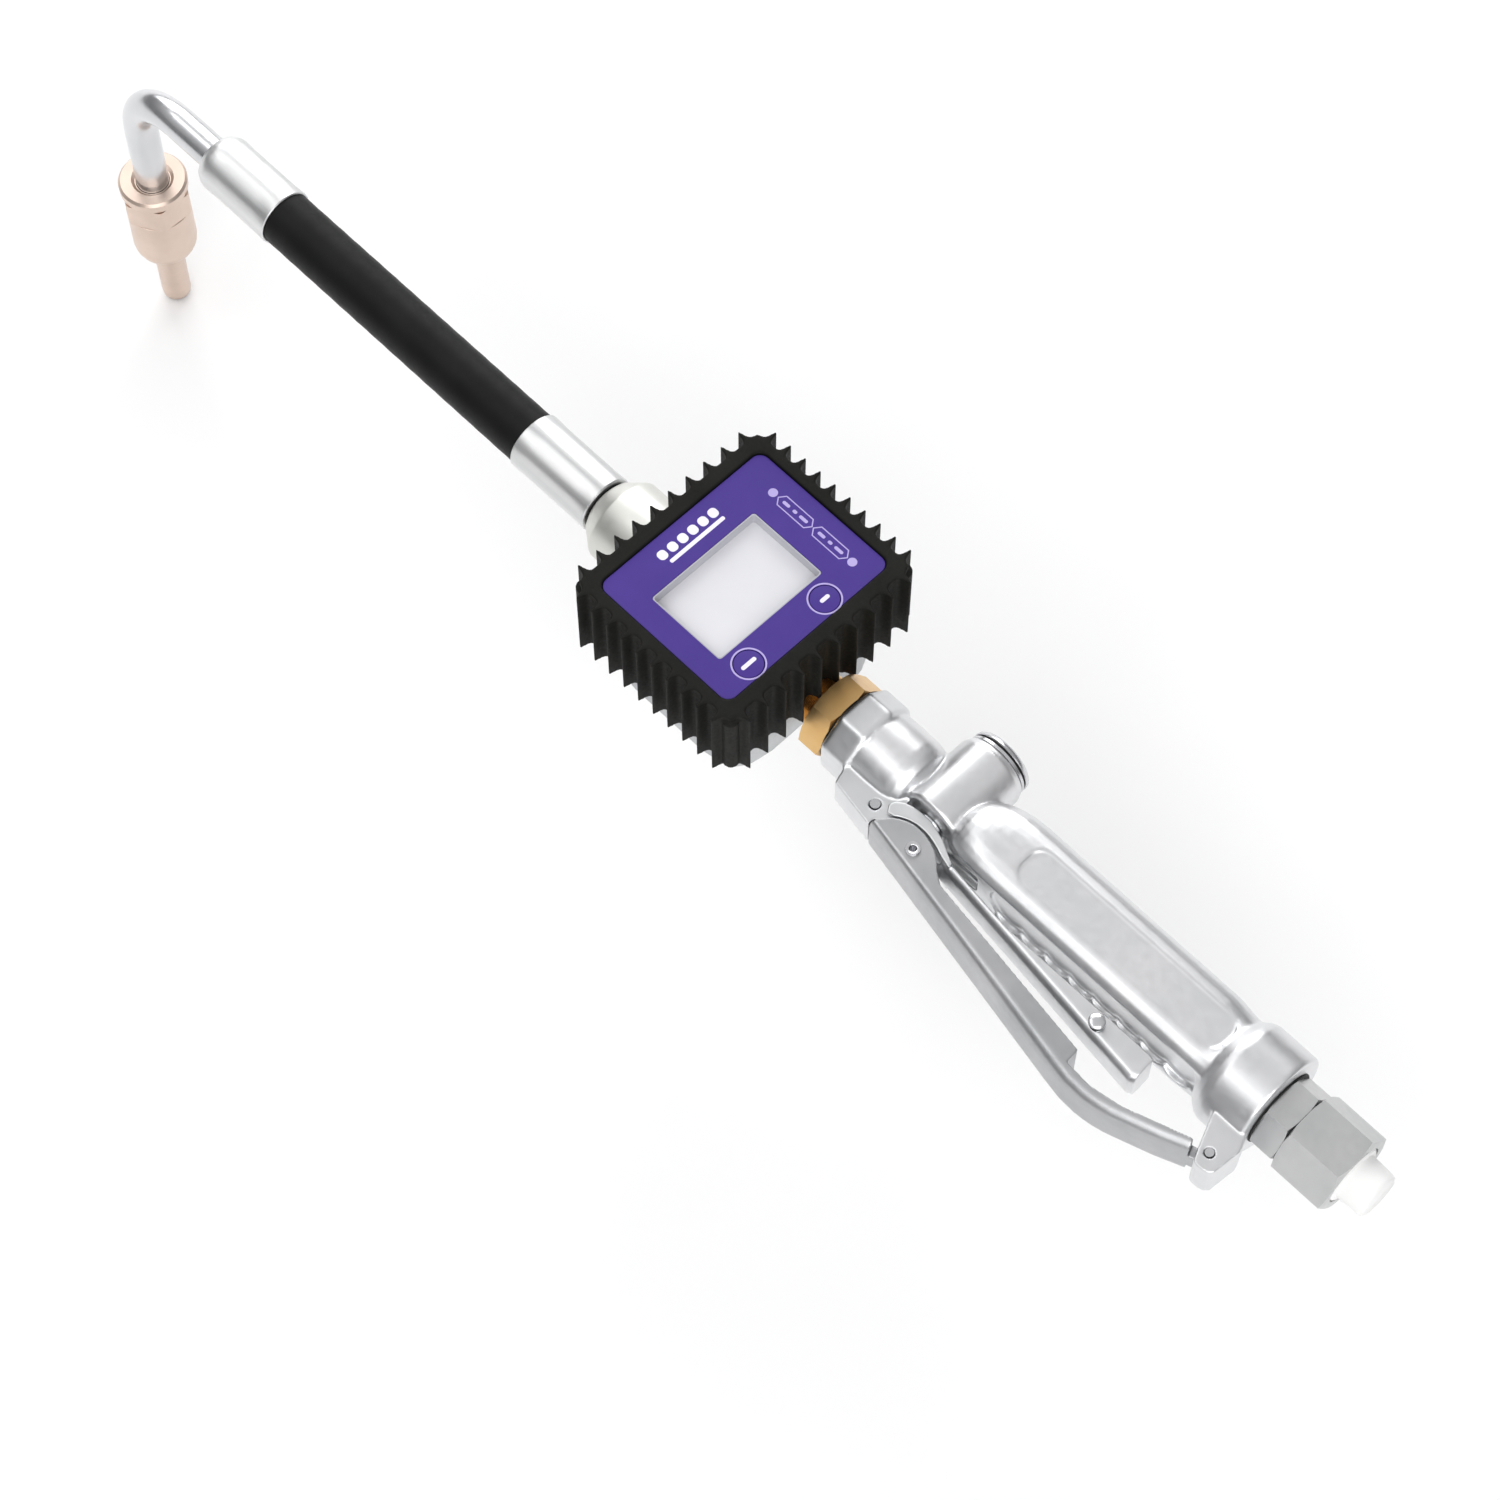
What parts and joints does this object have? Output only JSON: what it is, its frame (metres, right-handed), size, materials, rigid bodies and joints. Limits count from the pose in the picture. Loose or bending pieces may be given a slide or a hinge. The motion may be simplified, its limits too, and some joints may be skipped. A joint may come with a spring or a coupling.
{
  "type": "metered oil control gun",
  "caption": "Trigger-operated oil control gun with a digital oval gear meter in a finned rubber boot and a flexible spout with a drip-free nozzle.",
  "frame": {"origin": "centre of the meter's flat back face", "axes": "+X along the oil bore from the meter to the handle, -X towards the spout and nozzle, +Z the way the display faces, and the trigger on the -Y side"},
  "size_m": [0.6268, 0.0932, 0.1755],
  "materials": {
    "cast_chrome": "satin chromed casting",
    "bright_steel": "bright nickel",
    "zinc_steel": "zinc plated",
    "brass": "machined",
    "copper_brass": "satin, slightly coppery",
    "aluminium": "cast",
    "boot_rubber": "matt black",
    "hose_rubber": "satin black",
    "seal": "matt",
    "dark_plastic": "matt",
    "violet_film": "satin printed film",
    "display_grey": "glossy display glass",
    "circuit_green": "circuit board",
    "cell": "printed sleeve over steel",
    "gear_polymer": "moulded",
    "white_plastic": "moulded cap"
  },
  "bodies": {
    "gun": {"handle_body": "cast_chrome", "bonnet_cap": "bright_steel", "bonnet_seal": "seal", "valve_spring": "bright_steel", "stem_gland": "bright_steel", "trigger_pin": "bright_steel", "trigger_guard": "cast_chrome", "guard_front_pin": "bright_steel", "guard_rear_pin": "bright_steel", "inlet_gland": "zinc_steel", "inlet_strainer": "bright_steel", "inlet_nipple": "brass", "union_nut": "brass", "outlet_adapter": "bright_steel", "meter_body": "aluminium", "gear_shaft_left": "bright_steel", "gear_shaft_right": "bright_steel", "chamber_cover": "aluminium", "chamber_seal": "seal", "meter_back_cover": "aluminium", "back_screw_1": "zinc_steel", "back_screw_2": "zinc_steel", "back_screw_3": "zinc_steel", "back_screw_4": "zinc_steel", "display_housing": "dark_plastic", "circuit_board": "circuit_green", "display_module": "display_grey", "battery_left": "cell", "battery_right": "cell", "battery_holder": "dark_plastic", "label_panel": "violet_film", "rubber_boot": "boot_rubber", "rear_ferrule": "zinc_steel", "hose": "hose_rubber", "front_ferrule": "zinc_steel", "hose_stem": "zinc_steel", "spout_tube": "bright_steel", "nozzle_nut": "copper_brass", "nozzle_body": "copper_brass", "nozzle_seat": "seal", "nozzle_spring": "bright_steel"},
    "trigger": {"trigger_lever": "cast_chrome"},
    "valve": {"valve_stem": "bright_steel"},
    "lock": {"lock_button": "bright_steel"},
    "swivel": {"swivel_nut": "zinc_steel", "swivel_seal": "seal"},
    "plug": {"inlet_plug": "white_plastic"},
    "reset": {"reset_button": "violet_film"},
    "calibrate": {"calibrate_button": "violet_film"},
    "gear_left": {"oval_gear_left": "gear_polymer"},
    "gear_right": {"oval_gear_right": "gear_polymer"},
    "poppet": {"nozzle_poppet": "bright_steel"}
  },
  "joints": [
    {"name": "trigger_pivot", "type": "hinge", "parent": "gun", "child": "trigger", "pos_m": [0.0805, -0.0178, 0.022], "axis": [0, 0, 1], "range_deg": [0, 2.6], "stiffness_Nm_per_rad": 4, "springref_deg": -3.44},
    {"name": "valve_slide", "type": "slide", "parent": "gun", "child": "valve", "axis": [0, 1, 0], "range_m": [0, 0.0008], "deforming": ["valve_spring"]},
    {"name": "lock_slide", "type": "slide", "parent": "trigger", "child": "lock", "axis": [0, 0, -1], "range_m": [0, 0.0014], "stiffness_N_per_m": 300, "springref_m": -0.001},
    {"name": "swivel_spin", "type": "hinge", "parent": "gun", "child": "swivel", "pos_m": [0.267, 0, 0.022], "axis": [1, 0, 0], "continuous": true},
    {"name": "plug_pull", "type": "slide", "parent": "swivel", "child": "plug", "axis": [1, 0, 0], "range_m": [0, 0.02]},
    {"name": "reset_press", "type": "slide", "parent": "gun", "child": "reset", "axis": [0, 0, -1], "range_m": [0, 0.0008], "stiffness_N_per_m": 300, "springref_m": -0.001},
    {"name": "calibrate_press", "type": "slide", "parent": "gun", "child": "calibrate", "axis": [0, 0, -1], "range_m": [0, 0.0008], "stiffness_N_per_m": 300, "springref_m": -0.001},
    {"name": "gear_left_spin", "type": "hinge", "parent": "gun", "child": "gear_left", "pos_m": [0, -0.01125, 0.022], "axis": [0, 0, 1], "continuous": true},
    {"name": "gear_right_spin", "type": "hinge", "parent": "gun", "child": "gear_right", "pos_m": [0, 0.01125, 0.022], "axis": [0, 0, 1], "continuous": true},
    {"name": "poppet_slide", "type": "slide", "parent": "gun", "child": "poppet", "axis": [0, 0, -1], "range_m": [0, 0.003], "stiffness_N_per_m": 300, "springref_m": -0.003, "deforming": ["nozzle_spring"]}
  ],
  "couplings": [
    {"joint": "valve_slide", "follows": "trigger_pivot", "m_per_rad": 0.016},
    {"joint": "gear_right_spin", "follows": "gear_left_spin", "ratio": -1}
  ]
}
